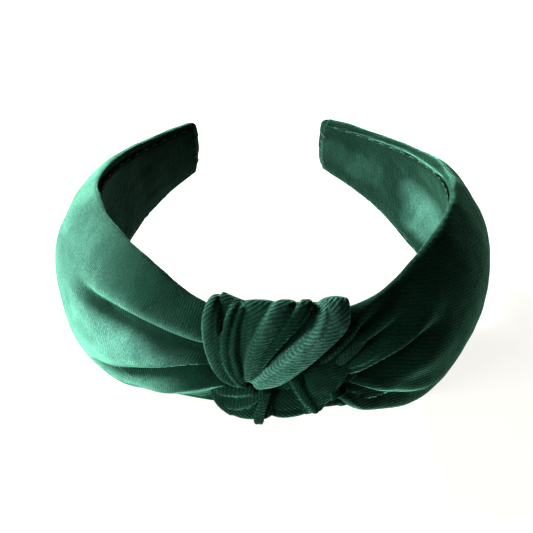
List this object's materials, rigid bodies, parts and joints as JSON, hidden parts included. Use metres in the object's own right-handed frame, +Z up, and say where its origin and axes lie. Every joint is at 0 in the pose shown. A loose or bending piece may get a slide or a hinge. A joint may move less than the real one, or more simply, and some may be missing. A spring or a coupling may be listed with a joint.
{
  "type": "knotted headband",
  "caption": "Padded velvet headband on a sprung plastic core, with an overhand knot on the crown and two arms that flex open.",
  "frame": {"origin": "under the middle of the whole part, on the surface that it lies on", "axes": "+X across the head, from the left arm to the right one as seen from the knot; +Y from the knot towards the tips; +Z up across the width of the band, which lies on its lower edge"},
  "size_m": [0.1466, 0.1527, 0.0627],
  "materials": {
    "velvet": "dark green knitted velvet with a short shiny pile and fine ribs",
    "lining_velvet": "the same velvet, turned inside and worn flat",
    "core_plastic": "natural white injection moulded ABS",
    "foam": "cream open-cell polyurethane sponge",
    "thread": "dark green polyester sewing thread"
  },
  "bodies": {
    "crown": {"core_crown": "core_plastic", "knot_wrap": "velvet", "knot_inner_strand": "velvet", "knot_left_lobe": "velvet", "knot_right_lobe": "velvet", "knot_right_gather": "velvet", "knot_tail": "velvet", "knot_backing": "lining_velvet", "knot_stitches": "thread"},
    "left_arm": {"core_left": "core_plastic", "padding_left": "foam", "sleeve_left": "velvet", "lining_left": "lining_velvet", "lining_stitches_left": "thread", "tip_fold_left": "lining_velvet", "tip_stitches_left": "thread"},
    "right_arm": {"core_right": "core_plastic", "padding_right": "foam", "sleeve_right": "velvet", "lining_right": "lining_velvet", "lining_stitches_right": "thread", "tip_fold_right": "lining_velvet", "tip_stitches_right": "thread"}
  },
  "joints": [
    {"name": "left_flex", "type": "hinge", "parent": "crown", "child": "left_arm", "pos_m": [-0.02557, -0.06818, 0.034], "axis": [0, 0, 1], "range_deg": [0, 16], "stiffness_Nm_per_rad": 0.5},
    {"name": "right_flex", "type": "hinge", "parent": "crown", "child": "right_arm", "pos_m": [0.02557, -0.06818, 0.034], "axis": [0, 0, -1], "range_deg": [0, 16], "stiffness_Nm_per_rad": 0.5}
  ]
}
